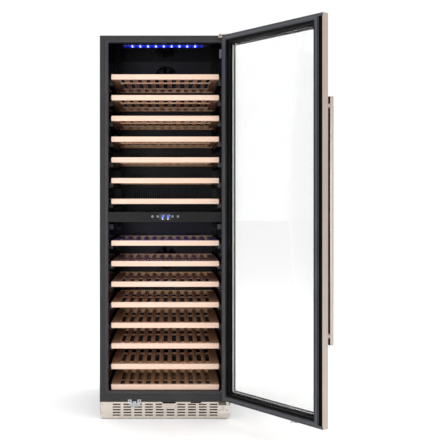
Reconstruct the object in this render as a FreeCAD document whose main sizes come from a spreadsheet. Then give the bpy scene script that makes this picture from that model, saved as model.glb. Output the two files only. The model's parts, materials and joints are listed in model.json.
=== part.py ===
import FreeCAD, Part
import Sketcher
import os
import re

# A free-standing two-zone wine cooler with fifteen beech shelves and a glazed steel door.
# Row frame: +Z up, the front faces -Y, X runs left to right seen from the front, and the
# origin is on the floor under the middle of the cabinet. All lengths are millimetres.

SIZES = {
    # cabinet
    "cabinet_width": 595, "cabinet_depth": 630, "cabinet_height": 1751,
    "sheet": 1.0, "back_sheet": 1.2, "shell_bottom": 12, "foam_bottom": 92,
    "frame_depth": 30, "frame_bottom": 80, "opening_width": 518,
    "opening_bottom": 128.5, "opening_top": 1720, "opening_corner": 9.5,
    "groove_width": 1.6, "groove_depth": 1.5, "groove_side": 21, "groove_top": 22, "groove_low": 33.5,
    # linings
    "liner_wall": 1.5, "liner_depth": 583, "hump_front": 400, "hump_top": 215,
    "engine_room_front": 415, "engine_room_top": 178,
    "panel_bottom": 900.6, "panel_top": 946.2,
    "cover_front": 542, "cover_width": 471, "cover_wall": 2,
    "slit_width": 3, "slit_pitch": 11.6,
    # shelves
    "shelf_width": 493, "shelf_depth": 505, "low_shelf_depth": 365, "shelf_setback": 25,
    "strip_height": 23.5, "strip_thick": 18, "board_low": 5, "board_thick": 14,
    "board_outer": 250, "board_inner": 210, "slat_width": 20, "slat_pitch": 40.2,
    "bar_low": 0.5, "bar_width": 24, "bar_length": 428, "back_strip_width": 480,
    "upper_shelf_low": 982.8, "upper_shelf_pitch": 95.2,
    "lower_shelf_low": 130.5, "lower_shelf_pitch": 94.4,
    "rail_setback": 100, "rail_length": 430, "low_rail_length": 285, "rail_reach": 17,
    "rail_height": 23, "rail_round": 7, "rail_gap": 0.3, "spare_rail_top": 887,
    # air, light and controls
    "fan_side": 120, "fan_depth": 25, "fan_bore": 57.5, "fan_hole": 59, "fan_screw_pitch": 105,
    "upper_fan_level": 1639, "lower_fan_level": 696,
    "light_length": 389, "light_setback": 77, "light_width": 46, "light_thick": 2.2,
    "button_side": 11.4, "button_level": 926, "button_gap": 0.3, "button_proud": 1.5,
    "panel_skin": 3, "window_low": 909, "window_high": 940, "window_left": 25, "window_right": 26.5, "stop_side": 13,
    "switch_low": 1655, "switch_high": 1694,
    # base
    "kick_setback": 15, "kick_bottom": 3, "kick_top": 79.7, "kick_sheet": 1.5, "kick_width": 590,
    "vent_length": 37, "vent_height": 5.7, "vent_pitch": 49.3, "vent_row_pitch": 12.35, "vent_low": 16.6,
    "foot_radius": 20, "foot_inset": 45,
    # door, in its closed place
    "door_bottom": 94.5, "door_top": 1746, "door_gap": 12, "door_thick": 31, "door_sheet": 1.5,
    "door_border": 55, "door_lip": 2.5, "gasket_inset": 20.7, "rise_trim": 8, "gasket_width": 19,
    "glass_opening": 49, "glass_inset": 41.5, "glass_thick": 4, "spacer_inset": 49.5,
    "spacer_width": 7, "spacer_depth": 14, "hinge_inset": 15, "hinge_forward": 30,
    "pin_radius": 4, "bush_radius": 7, "bush_length": 21.5, "running_gap": 0.05,
    "door_open_angle": 128.5,
    "handle_radius": 11, "handle_low": 418, "handle_high": 1420, "handle_inset": 23,
    "handle_standoff": 43.5, "post_radius": 8, "post_end": 38,
    "lock_place": -139,
}

doc = FreeCAD.newDocument("wine_cooler")
sheet = doc.addObject("Spreadsheet::Sheet", "Sizes")
for row, (alias, number) in enumerate(SIZES.items(), start=1):
    sheet.set(f"A{row}", alias)
    sheet.set(f"B{row}", str(number))
    sheet.setAlias(f"B{row}", alias)
doc.recompute()

X_AXIS = FreeCAD.Vector(1, 0, 0)
Y_AXIS = FreeCAD.Vector(0, 1, 0)
Z_AXIS = FreeCAD.Vector(0, 0, 1)
TURNS = {"X": FreeCAD.Rotation(Y_AXIS, 90), "Y": FreeCAD.Rotation(X_AXIS, -90), "Z": FreeCAD.Rotation()}
ACROSS = {"X": ("y", "z"), "Y": ("x", "z"), "Z": ("x", "y")}
PLANES = {"X": "YZ_Plane", "Y": "XZ_Plane", "Z": "XY_Plane"}

# places that many pieces share, as expressions
FRONT = "(-cabinet_depth / 2)"
FRAME_BACK = "(-cabinet_depth / 2 + frame_depth)"
BACK = "(cabinet_depth / 2 - back_sheet)"
COVER = "(-cabinet_depth / 2 + cover_front)"
LINER_BACK = "(-cabinet_depth / 2 + liner_depth)"
HUMP = "(-cabinet_depth / 2 + hump_front)"
KICK = "(-cabinet_depth / 2 + kick_setback)"
DOOR_BACK = "(-cabinet_depth / 2 - door_gap)"
DOOR_FACE = "(-cabinet_depth / 2 - door_gap - door_thick)"
HINGE_X = "(cabinet_width / 2 - hinge_inset)"
HINGE_Y = "(-cabinet_depth / 2 - hinge_forward)"
GLASS_FACE = f"({DOOR_FACE} + door_sheet + 0.3)"

parts = []


def formula(text):
    """An expression with each alias looked up in the sheet."""
    return re.sub(r"[a-z][a-z_]+", lambda word: "Sizes." + word.group(), str(text))


def size(text):
    """The number that an expression of aliases comes to."""
    return float(sheet.evalExpression(formula(text)))


def bind(item, links):
    for name, text in links.items():
        item.setExpression(name, formula(text))
    return item


def keep(item, label):
    item.Label = label
    parts.append(item)
    return item


def block(x, y, z, name="block"):
    """A box between a low and a high expression along each axis."""
    item = doc.addObject("Part::Box", name)
    links = {}
    for side, axis, (low, high) in zip(("Length", "Width", "Height"), "xyz", (x, y, z)):
        links["Placement.Base." + axis] = low
        links[side] = f"({high}) - ({low})"
    return bind(item, links)


def middle(width):
    """The two ends of a width that is centred on the cabinet."""
    return f"-({width}) / 2", f"({width}) / 2"


def rod(axis, place, along, radius, name="rod"):
    """A round bar along one axis, at a place on the two axes across it."""
    item = doc.addObject("Part::Cylinder", name)
    item.Placement = FreeCAD.Placement(FreeCAD.Vector(), TURNS[axis])
    low, high = along
    links = {"Radius": radius, "Height": f"({high}) - ({low})"}
    links["Placement.Base." + axis.lower()] = low
    for across, text in zip(ACROSS[axis], place):
        links["Placement.Base." + across] = text
    return bind(item, links)


def fuse(pieces, name="joined"):
    item = doc.addObject("Part::MultiFuse", name)
    item.Shapes = pieces
    return item


def group(pieces, name="group"):
    item = doc.addObject("Part::Compound", name)
    item.Links = pieces
    return item


def cut(base, tool, name="cut"):
    item = doc.addObject("Part::Cut", name)
    item.Base = base
    item.Tool = tool
    return item


def shaped(shape, name):
    item = doc.addObject("Part::Feature", name)
    item.Shape = shape
    return item


def rounded(base, radius, chosen, name="rounded"):
    """Rounds the edges that the test picks."""
    doc.recompute()
    item = doc.addObject("Part::Fillet", name)
    item.Base = base
    numbered = enumerate(base.Shape.Edges, start=1)
    item.Edges = [(number, radius, radius) for number, edge in numbered if chosen(edge)]
    return item


def runs_along(axis):
    def test(edge):
        return abs(edge.tangentAt(edge.FirstParameter).dot(axis)) > 0.999 and edge.Curve.TypeId == "Part::GeomLine"

    return test


def new_body(name):
    return doc.addObject("PartDesign::Body", name)


def outline(body, axis, rings):
    """A sketch across an axis of the body; every corner of every ring is tied to the sheet."""
    sketch = body.newObject("Sketcher::SketchObject", "outline")
    planes = [plane for plane in body.Origin.OriginFeatures if plane.Role == PLANES[axis]]
    sketch.AttachmentSupport = (planes[0], [""])
    sketch.MapMode = "FlatFace"
    for ring in rings:
        first = sketch.GeometryCount
        points = [FreeCAD.Vector(size(across), size(up), 0) for across, up in ring]
        for start, end in zip(points, points[1:] + points[:1]):
            sketch.addGeometry(Part.LineSegment(start, end), False)
        for step, (corner, point) in enumerate(zip(ring, points)):
            line = first + step
            following = first + (step + 1) % len(ring)
            sketch.addConstraint(Sketcher.Constraint("Coincident", line, 2, following, 1))
            for kind, text, number in zip(("DistanceX", "DistanceY"), corner, point):
                place = sketch.addConstraint(Sketcher.Constraint(kind, -1, 1, line, 1, number))
                sketch.setExpression(f"Constraints[{place}]", formula(text))
    return sketch


def pad(body, sketch, length, both_ways=True):
    """A pad that grows both ways from its sketch, or towards +X, -Y or +Z."""
    item = body.newObject("PartDesign::Pad", "pad")
    item.Profile = sketch
    item.SideType = "Symmetric" if both_ways else "One side"
    body.Tip = item
    return bind(item, {"Length": length})


def pocket(body, sketch, length):
    item = body.newObject("PartDesign::Pocket", "pocket")
    item.Profile = sketch
    item.SideType = "Symmetric"
    body.Tip = item
    return bind(item, {"Length": length})


def soften(body, radius, chosen):
    """A PartDesign fillet on the edges that the test picks."""
    doc.recompute()
    base = body.Tip
    names = [f"Edge{number}" for number, edge in enumerate(base.Shape.Edges, start=1) if chosen(edge)]
    item = body.newObject("PartDesign::Fillet", "fillet")
    item.Base = (base, names)
    body.Tip = item
    return bind(item, {"Radius": radius})


def rectangle(across, up):
    """The four corners between a low and a high expression each way."""
    return [(across[0], up[0]), (across[1], up[0]), (across[1], up[1]), (across[0], up[1])]


def inset(text, trim="rise_trim"):
    """A rectangle inside the closed door's outline; at its top and bottom the inset is less by a trim."""
    return (f"-cabinet_width / 2 + {text}", f"cabinet_width / 2 - {text}"), (
        f"door_bottom + {text} - {trim}", f"door_top - {text} + {trim}")


def door_ring(outer, inner, near, far, name="ring", outer_trim="rise_trim"):
    """A rectangular frame in the door between two insets from its edge and two depths."""
    (left, right), (low, high) = inset(outer, outer_trim)
    whole = block((left, right), (near, far), (low, high), name + "_whole")
    (left, right), (low, high) = inset(inner)
    hole = block((left, right), (f"{near} - 1", f"{far} + 1"), (low, high), name + "_hole")
    return cut(whole, hole, name)


# ---------------------------------------------------------------- cabinet and linings
def cabinet_shell():
    outside = block(middle("cabinet_width"), (FRAME_BACK, BACK), ("shell_bottom", "cabinet_height"))
    inside = block(middle("cabinet_width - 2 * sheet"), (f"{FRAME_BACK} - 1", f"{BACK} + 1"),
                   ("shell_bottom - 1", "cabinet_height - sheet"))
    keep(cut(outside, inside), "cabinet_shell")


def back_panel():
    plate = block(middle("cabinet_width"), (BACK, f"{BACK} + back_sheet"), ("shell_bottom", "cabinet_height"))
    slots = []
    for row in range(6):
        low = 60 + 16 * row
        slots.append(block(("-30", "200"), (f"{BACK} - 1", f"{BACK} + 3"), (low, low + 5), "louvre"))
    socket = block(("-232", "-204"), (f"{BACK} - 1", f"{BACK} + 3"), ("58", "80"), "socket_hole")
    keep(cut(plate, group(slots + [socket])), "back_panel")


def liner_profile(wall, low, high, hump=True):
    """The outline from the side of a lining's inside, or of its outside when wall is its thickness."""
    back = f"{LINER_BACK} + {wall}"
    top = f"{high} + {wall}"
    bottom = f"{low} - {wall}"
    if not hump:
        return rectangle((FRAME_BACK, back), (bottom, top))
    step = f"{HUMP} + {wall}"
    ledge = f"hump_top - {wall}"
    return [(FRAME_BACK, bottom), (step, bottom), (step, ledge), (back, ledge), (back, top), (FRAME_BACK, top)]


def lining(label, low, high, hump):
    body = new_body(label)
    pad(body, outline(body, "X", [liner_profile("liner_wall", low, high, hump)]),
        "opening_width + 2 * liner_wall")
    pocket(body, outline(body, "X", [liner_profile("0", low, high, hump)]), "opening_width")
    keep(body, label)


def insulation():
    body = new_body("insulation")
    room = f"({FRONT} + engine_room_front)"
    around = [
        (FRAME_BACK, "foam_bottom"), (room, "foam_bottom"), (room, "engine_room_top"),
        (BACK, "engine_room_top"), (BACK, "cabinet_height - sheet"), (FRAME_BACK, "cabinet_height - sheet"),
    ]
    pad(body, outline(body, "X", [around]), "cabinet_width - 2 * sheet")
    hollow = liner_profile("liner_wall", "opening_bottom", "opening_top")
    pocket(body, outline(body, "X", [hollow]), "opening_width + 2 * liner_wall")
    keep(body, "insulation")


def zone_divider():
    keep(block(middle("opening_width + 2 * liner_wall"), (FRAME_BACK, f"{LINER_BACK} + liner_wall"),
               ("panel_bottom + liner_wall", "panel_top - liner_wall")), "zone_divider")


def groove(side, low, high):
    """The thin line round the face of the front frame, at a distance from its sides."""
    outer = block((f"-cabinet_width / 2 + {side}", f"cabinet_width / 2 - {side}"),
                  (f"{FRONT} - 1", f"{FRONT} + groove_depth"), (low, high), "groove_outside")
    inner = block((f"-cabinet_width / 2 + {side} + groove_width", f"cabinet_width / 2 - {side} - groove_width"),
                  (f"{FRONT} - 2", f"{FRONT} + groove_depth + 1"),
                  (f"{low} + groove_width", f"{high} - groove_width"), "groove_inside")
    return cut(outer, inner, "groove")


def front_frame():
    body = new_body("front_frame_ring")
    pad(body, outline(body, "Y", [
        rectangle(middle("cabinet_width"), ("frame_bottom", "cabinet_height")),
        rectangle(middle("opening_width"), ("opening_bottom", "opening_top")),
    ]), "frame_depth")
    bind(body, {"Placement.Base.y": f"{FRONT} + frame_depth / 2"})
    half = size("opening_width / 2")
    soften(body, "opening_corner", lambda edge: runs_along(Y_AXIS)(edge)
           and abs(abs(edge.CenterOfMass.x) - half) < 0.1)
    line = groove("groove_side", "frame_bottom + groove_low", "cabinet_height - groove_top")
    keep(cut(body, line), "front_frame")


# ---------------------------------------------------------------- covers, fans and cold side
def screw(axis, place, face, reach, head=4, shank=1.75, way=-1):
    """A pan-head screw whose head stands on a face; its shank goes the other way."""
    low, high = (f"{face} - 2.2", face) if way < 0 else (face, f"{face} + 2.2")
    cap = rod(axis, place, (low, high), head, "screw_head")
    low, high = (face, f"{face} + {reach}") if way < 0 else (f"{face} - {reach}", face)
    return fuse([cap, rod(axis, place, (low, high), shank, "screw_shank")], "screw")


def fan_screws(level):
    half = "fan_screw_pitch / 2"
    return [screw("Y", (f"{side} * {half}", f"{level} + {up} * {half}"), COVER, 8)
            for side in (-1, 1) for up in (-1, 1)]


def cover_screws(places):
    return [screw("Y", (side * across, up), COVER, 6) for side in (-1, 1) for across, up in places]


def slits(columns, rows):
    """Upright vent slits: columns of slit numbers, and rows as (low, high)."""
    return [block((f"{number} * slit_pitch - slit_width / 2", f"{number} * slit_pitch + slit_width / 2"),
                  (f"{COVER} - 1", f"{COVER} + cover_wall + 1"), row, "slit")
            for number in columns for row in rows]


SIDE_SLITS = [side * number for side in (-1, 1) for number in range(9, 16)]
WIDE_SLITS = list(range(-14, 15))


def back_cover(label, low, high, level, openings, screws):
    outside = block(middle("cover_width"), (COVER, LINER_BACK), (low, high))
    inside = block(middle("cover_width - 2 * cover_wall"), (f"{COVER} + cover_wall", f"{LINER_BACK} + 1"),
                   (f"{low} - 1", f"{high} + 1"))
    hole = rod("Y", (0, level), (f"{COVER} - 1", f"{COVER} + cover_wall + 1"), "fan_hole")
    tools = group([hole] + openings + screws)
    keep(cut(cut(outside, inside), tools), label)


def fan_frame(axis_x, level, front, side, bore, depth):
    """A square fan frame with its bore, and three struts that hold a motor plate at the back."""
    half = f"({side}) / 2"
    frame = block((f"{axis_x} - {half}", f"{axis_x} + {half}"), (front, f"{front} + {depth}"),
                  (f"{level} - {half}", f"{level} + {half}"), "fan_block")
    hole = rod("Y", (axis_x, level), (f"{front} - 1", f"{front} + {depth} + 1"), bore, "fan_hole")
    plate = rod("Y", (axis_x, level), (f"{front} + {depth} - 4", f"{front} + {depth}"), f"{bore} * 0.36", "motor_plate")
    pieces = [cut(frame, hole), plate]
    for turn in (30, 150, 270):
        length = size(bore) + 2
        strut = Part.makeBox(length, 3, 5, FreeCAD.Vector(0, -3, -2.5))
        strut.rotate(FreeCAD.Vector(), Y_AXIS, turn)
        strut.translate(FreeCAD.Vector(size(axis_x), size(f"{front} + {depth}"), size(level)))
        pieces.append(shaped(strut, "strut"))
    return fuse(pieces, "fan_frame")


def fan_rotor(label, axis_x, level, front, tip):
    """A hub with seven pitched blades, made round the origin and then placed on its axis."""
    hub_radius = tip * 0.33
    hub = Part.makeCylinder(hub_radius, 17, FreeCAD.Vector(0, 2, 0), Y_AXIS)
    hub = hub.makeFillet(1.5, [edge for edge in hub.Edges if abs(edge.CenterOfMass.y - 2) < 0.01
                               and edge.Curve.TypeId == "Part::GeomCircle"])
    rim = Part.makeCylinder(tip, 14, FreeCAD.Vector(0, 3.5, 0), Y_AXIS)
    for number in range(7):
        blade = Part.makeBox(tip, 1.6, tip * 0.44, FreeCAD.Vector(hub_radius * 0.8, -0.8, -tip * 0.22))
        blade.rotate(FreeCAD.Vector(), X_AXIS, 35)
        blade.rotate(FreeCAD.Vector(), Y_AXIS, 360 * number / 7)
        blade.translate(FreeCAD.Vector(0, 10.5, 0))
        hub = hub.fuse(blade.common(rim))
    item = shaped(hub, label)
    item.Placement = FreeCAD.Placement(
        FreeCAD.Vector(size(axis_x), size(front), size(level)), FreeCAD.Rotation())
    keep(item, label)


def coil(across, depth, up, rows, banks, pitch, name):
    """Tubes along X held in upright fins, brazed into one piece."""
    low_x, high_x = across
    low_y, high_y = depth
    low_z, high_z = up
    pieces = []
    for row in range(rows):
        level = low_z + (high_z - low_z) * (row + 0.5) / rows
        for bank in range(banks):
            place = low_y + (high_y - low_y) * (bank + 0.5) / banks
            pieces.append(Part.makeCylinder(3.5, high_x - low_x, FreeCAD.Vector(low_x, place, level), X_AXIS))
    for number in range(int((high_x - low_x - 16) / pitch) + 1):
        corner = FreeCAD.Vector(low_x + 8 + number * pitch, low_y, low_z)
        pieces.append(Part.makeBox(1.2, high_y - low_y, high_z - low_z, corner))
    return shaped(pieces[0].multiFuse(pieces[1:]), name)


def air_system():
    """Back covers with their vents, the two cold-room fans, the condenser fan and both evaporators."""
    upper_screws = fan_screws("upper_fan_level") + cover_screws([(192, 958), (218, 1261)])
    lower_screws = fan_screws("lower_fan_level") + cover_screws([(218, 841), (192, 300)])
    upper_slits = slits(SIDE_SLITS, [(1190, 1240), (1084, 1134)]) + slits(WIDE_SLITS, [(1005, 1060)])
    lower_slits = slits(SIDE_SLITS, [(780, 830)]) + slits(WIDE_SLITS, [(520, 575), (400, 455), (280, 335)])
    back_cover("upper_back_cover", "panel_top", "opening_top", "upper_fan_level", upper_slits, upper_screws)
    back_cover("lower_back_cover", "hump_top", "panel_bottom", "lower_fan_level", lower_slits, lower_screws)
    behind = f"({COVER} + cover_wall)"
    frames = [fan_frame("0", level, behind, "fan_side", "fan_bore", "fan_depth")
              for level in ("upper_fan_level", "lower_fan_level")]
    frames = [cut(frames[0], group(upper_screws)), cut(frames[1], group(lower_screws))]
    frames.append(fan_frame("-80", "53", "-190", "76", "35.5", "fan_depth"))
    keep(group(frames), "fan_frames")
    fan_rotor("upper_fan_rotor", "0", "upper_fan_level", behind, size("fan_bore") - 2)
    fan_rotor("lower_fan_rotor", "0", "lower_fan_level", behind, size("fan_bore") - 2)
    fan_rotor("condenser_fan_rotor", "-80", "53", "-190", 34)
    plenum = (size(behind) + 12, size(behind) + 32)
    keep(group([
        coil((-190, 190), plenum, (1270, 1520), 6, 1, 12, "upper_coil"),
        coil((-190, 190), plenum, (330, 600), 6, 1, 12, "lower_coil"),
    ]), "evaporators")
    keep(coil((-240, 180), (-278, -215), (20, 86), 3, 2, 9, "condenser"), "condenser")
    return upper_screws + lower_screws


# ---------------------------------------------------------------- light and controls
BUTTONS = {"button_power": -57, "button_light": -33, "button_up": 34, "button_down": 59}


def window_block(gap, near, far):
    return block((f"-window_left - {gap}", f"window_right + {gap}"), (near, far),
                 (f"window_low - {gap}", f"window_high + {gap}"), "window")


def controls():
    """The panel across the front between the two rooms, its window and its four push buttons."""
    body = new_body("panel_skin")
    behind = f"({FRONT} + panel_skin)"
    section = [
        (FRONT, "panel_bottom"), (FRAME_BACK, "panel_bottom"), (FRAME_BACK, "panel_bottom + 2"),
        (behind, "panel_bottom + 2"), (behind, "panel_top - 2"), (FRAME_BACK, "panel_top - 2"),
        (FRAME_BACK, "panel_top"), (FRONT, "panel_top"),
    ]
    pad(body, outline(body, "X", [section]), "opening_width")
    tools = [window_block(0, f"{FRONT} - 1", f"{behind} + 1")]
    half = "(button_side / 2 + button_gap)"
    for across in BUTTONS.values():
        tools.append(block((f"{across} - {half}", f"{across} + {half}"), (f"{FRONT} - 1", f"{behind} + 1"),
                           (f"button_level - {half}", f"button_level + {half}"), "button_hole"))
    keep(cut(body, group(tools)), "control_panel")
    keep(window_block(0, f"{FRONT} - 0.2", behind), "display_window")
    for label, across in BUTTONS.items():
        cap = block((f"{across} - button_side / 2", f"{across} + button_side / 2"),
                    (f"{FRONT} - button_proud", f"{behind} + 0.5"),
                    ("button_level - button_side / 2", "button_level + button_side / 2"), "cap")
        cap = rounded(cap, 1.2, runs_along(Y_AXIS), "cap_round")
        stop = block((f"{across} - stop_side / 2", f"{across} + stop_side / 2"),
                     (f"{behind} + 0.5", f"{behind} + 2"),
                     ("button_level - stop_side / 2", "button_level + stop_side / 2"), "stop")
        keep(fuse([cap, stop]), label)


def lights():
    """A light bar on the ceiling of each room, and the switch that the door works."""
    near = f"({FRONT} + light_setback)"
    keep(group([
        block(middle("light_length"), (near, f"{near} + light_width"), (f"{top} - light_thick", top))
        for top in ("opening_top", "panel_bottom")
    ]), "led_bars")
    case = block(("opening_width / 2 - 9", "opening_width / 2"), (f"{FRONT} + 34", f"{FRONT} + 56"),
                 ("switch_low", "switch_high"))
    keep(rounded(case, 2, lambda edge: edge.CenterOfMass.x < size("opening_width / 2 - 8.9")), "door_switch")


# ---------------------------------------------------------------- shelves and their rails
def shelf_levels():
    lower = [f"lower_shelf_low + {7 - number} * lower_shelf_pitch" for number in range(8)]
    upper = [f"upper_shelf_low + {6 - number} * upper_shelf_pitch" for number in range(7)]
    return upper + lower


def slat_row(near, far):
    """Ten slats with rounded tops, side by side, as one patterned pad."""
    body = new_body("slats")
    body.AllowCompound = True
    width = size("slat_width")
    low = size("board_low")
    crown = size("board_thick")
    shoulder = crown * 0.45
    start = size("-4.5 * slat_pitch")
    left = FreeCAD.Vector(start - width / 2, low, 0)
    right = FreeCAD.Vector(start + width / 2, low, 0)
    rise = FreeCAD.Vector(0, shoulder, 0)
    crest = FreeCAD.Vector(start, low + crown, 0)
    sketch = body.newObject("Sketcher::SketchObject", "slat_end")
    planes = [plane for plane in body.Origin.OriginFeatures if plane.Role == "XZ_Plane"]
    sketch.AttachmentSupport = (planes[0], [""])
    sketch.MapMode = "FlatFace"
    sketch.addGeometry(Part.LineSegment(left, right), False)
    sketch.addGeometry(Part.LineSegment(right, right + rise), False)
    sketch.addGeometry(Part.Arc(right + rise, crest, left + rise), False)
    sketch.addGeometry(Part.LineSegment(left + rise, left), False)
    for corner in ((0, 2, 1, 1), (1, 2, 2, 1), (2, 2, 3, 1), (3, 2, 0, 1)):
        sketch.addConstraint(Sketcher.Constraint("Coincident", *corner))
    sketch.addConstraint(Sketcher.Constraint("Horizontal", 0))
    sketch.addConstraint(Sketcher.Constraint("Vertical", 1))
    sketch.addConstraint(Sketcher.Constraint("Vertical", 3))
    bound = [("DistanceX", (-1, 1, 0, 1), "-4.5 * slat_pitch - slat_width / 2"),
             ("DistanceY", (-1, 1, 0, 1), "board_low"), ("DistanceX", (0, 1, 0, 2), "slat_width"),
             ("DistanceY", (1, 1, 1, 2), "board_thick * 0.45")]
    for kind, ends, text in bound:
        place = sketch.addConstraint(Sketcher.Constraint(kind, *ends, size(text)))
        sketch.setExpression(f"Constraints[{place}]", formula(text))
    first = pad(body, sketch, f"({far}) - ({near})", both_ways=False)
    pattern = body.newObject("PartDesign::LinearPattern", "slat_pattern")
    pattern.Originals = [first]
    axes = [axis for axis in body.Origin.OriginFeatures if axis.Role == "X_Axis"]
    pattern.Direction = (axes[0], [""])
    pattern.Occurrences = 10
    bind(pattern, {"Length": "9 * slat_pitch"})
    body.Tip = pattern
    return bind(body, {"Placement.Base.y": far})


def shelf_pieces(depth, bars):
    """A shelf's beech pieces, with its underside at zero: strips, side boards, slats and bars."""
    front = f"({FRONT} + shelf_setback)"
    near = f"({front} + strip_thick)"
    back = f"({front} + {depth})"
    far = f"({back} - strip_thick)"
    strip = block(middle("shelf_width"), (front, near), ("0", "strip_height"), "front_strip")
    strip = rounded(strip, 2.5, lambda edge: runs_along(X_AXIS)(edge)
                    and edge.CenterOfMass.y < size(front) + 0.1, "front_strip")
    pieces = [strip, block(middle("back_strip_width"), (far, back), ("0", "strip_height"), "back_strip")]
    top = "board_low + board_thick"
    pieces.append(block(("-board_outer", "-board_inner"), (near, far), ("board_low", top), "side_board"))
    pieces.append(block(("board_inner", "board_outer"), (near, far), ("board_low", top), "side_board"))
    pieces.append(slat_row(near, far))
    for share in bars:
        place = f"({front} + {share} * {depth})"
        pieces.append(block(middle("bar_length"), (f"{place} - bar_width / 2", f"{place} + bar_width / 2"),
                            ("bar_low", "board_low"), "cross_bar"))
    return pieces


def shelves():
    full = shelf_pieces("shelf_depth", (0.3, 0.723))
    short = shelf_pieces("low_shelf_depth", (0.5,))
    levels = shelf_levels()
    for number, level in enumerate(levels, start=1):
        pieces = short if number == len(levels) else full
        keep(bind(group(pieces), {"Placement.Base.z": level}), f"shelf_{number:02d}")


def rail(side, length, low, high):
    """A rail on a side wall, rounded at its front end."""
    wall = "opening_width / 2"
    reach = f"({wall} - rail_reach)"
    across = (f"-{wall}", f"-{reach}") if side < 0 else (reach, wall)
    near = f"({FRONT} + rail_setback)"
    item = block(across, (near, f"{near} + {length}"), (low, high), "rail")
    edge_x = side * size(reach)
    edge_y = size(near)
    return rounded(item, size("rail_round"), lambda edge: runs_along(Z_AXIS)(edge)
                   and abs(edge.CenterOfMass.x - edge_x) < 0.1 and abs(edge.CenterOfMass.y - edge_y) < 0.1)


def shelf_rails():
    tops = [f"{level} + board_low - rail_gap" for level in shelf_levels()]
    items = []
    for side in (-1, 1):
        for top in tops[:-2] + ["spare_rail_top"]:
            items.append(rail(side, "rail_length", f"{top} - rail_height", top))
        items.append(rail(side, "rail_length", "hump_top", tops[-2]))
        items.append(rail(side, "low_rail_length", "opening_bottom", tops[-1]))
    keep(group(items), "shelf_rails")


# ---------------------------------------------------------------- base
def wedge(corners, near):
    """A cutter through the grille whose outline, seen from the front, has the given corners."""
    points = [FreeCAD.Vector(across, size(near) - 1, up) for across, up in corners]
    face = Part.Face(Part.makePolygon(points + points[:1]))
    return shaped(face.extrude(FreeCAD.Vector(0, 20, 0)), "wedge")


def edge_notch(left, right, deep):
    """A notch with sloping ends in the grille's top edge."""
    top = size("kick_top")
    return wedge([(left, top + 1), (left + deep, top - deep), (right - deep, top - deep), (right, top + 1)], KICK)


def kick_grille():
    """A folded steel plate with a field of vent slots and a small cover plate."""
    body = new_body("kick_fold")
    behind = f"({KICK} + kick_sheet)"
    section = [
        (KICK, "kick_bottom"), (f"{KICK} + 12", "kick_bottom"), (f"{KICK} + 12", "kick_bottom + kick_sheet"),
        (behind, "kick_bottom + kick_sheet"), (behind, "kick_top - kick_sheet"),
        (FRAME_BACK, "kick_top - kick_sheet"), (FRAME_BACK, "kick_top"), (KICK, "kick_top"),
    ]
    pad(body, outline(body, "X", [section]), "kick_width")
    slots = []
    radius = size("vent_height / 2")
    straight = size("vent_length") - 2 * radius
    near = size(KICK) - 1
    for column in range(10):
        middle_x = (column - 4.5) * size("vent_pitch")
        for row in range(5):
            level = size("vent_low") + row * size("vent_row_pitch")
            slot = Part.makeBox(straight, 4, 2 * radius,
                                FreeCAD.Vector(middle_x - straight / 2, near, level - radius))
            for end in (-1, 1):
                corner = FreeCAD.Vector(middle_x + end * straight / 2, near, level)
                slot = slot.fuse(Part.makeCylinder(radius, 4, corner, Y_AXIS))
            slots.append(slot.removeSplitter())
    field = shaped(Part.makeCompound(slots), "vent_slots")
    notches = [edge_notch(-19, 55, 10), edge_notch(111, 171, 8)]
    chamfer = wedge([(282, 0), (300, 0), (300, 14)], KICK)
    plate = block(("-14", "47"), (f"{KICK} - 1.5", KICK), ("48", "69"), "cover_plate")
    return cut(cut(body, field), group(notches + [chamfer])), plate


def base():
    keep(block(middle("cabinet_width - 2 * sheet"), (FRAME_BACK, BACK), ("shell_bottom", "shell_bottom + 2")),
         "base_tray")
    feet = []
    for side in (-1, 1):
        for place in (f"{FRAME_BACK} + foot_inset", f"{BACK} - foot_inset"):
            at = (f"{side} * (cabinet_width / 2 - foot_inset)", place)
            feet.append(fuse([rod("Z", at, ("0", "7"), "foot_radius", "foot_pad"),
                              rod("Z", at, ("7", "shell_bottom"), "9", "foot_stem")], "foot"))
    keep(group(feet), "levelling_feet")


def compressor():
    """A domed compressor on its plate and four rubber grommets."""
    body = new_body("compressor_can")
    sketch = body.newObject("Sketcher::SketchObject", "can_half")
    planes = [plane for plane in body.Origin.OriginFeatures if plane.Role == "XZ_Plane"]
    sketch.AttachmentSupport = (planes[0], [""])
    sketch.MapMode = "FlatFace"
    corners = [(0, 26), (44, 26), (58, 44), (58, 112), (44, 142), (18, 152), (0, 152)]
    points = [FreeCAD.Vector(across, up, 0) for across, up in corners]
    for start, end in zip(points, points[1:] + points[:1]):
        sketch.addGeometry(Part.LineSegment(start, end), False)
    for line in range(len(points)):
        sketch.addConstraint(Sketcher.Constraint("Coincident", line, 2, (line + 1) % len(points), 1))
        sketch.addConstraint(Sketcher.Constraint("DistanceX", -1, 1, line, 1, points[line].x))
        sketch.addConstraint(Sketcher.Constraint("DistanceY", -1, 1, line, 1, points[line].y))
    turned = body.newObject("PartDesign::Revolution", "can")
    turned.Profile = sketch
    turned.ReferenceAxis = (sketch, ["V_Axis"])
    turned.Angle = 360
    body.Tip = turned
    soften(body, "9", lambda edge: edge.Curve.TypeId == "Part::GeomCircle" and edge.Curve.Radius > 20)
    body.Placement.Base = FreeCAD.Vector(150, 205, 0)
    plate = block(("65", "235"), ("140", "270"), ("24", "26"), "compressor_plate")
    feet = [rod("Z", (across, deep), ("14", "24"), "9", "grommet") for across in (80, 220) for deep in (155, 255)]
    keep(group([fuse([body, plate])] + feet), "compressor")


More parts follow.
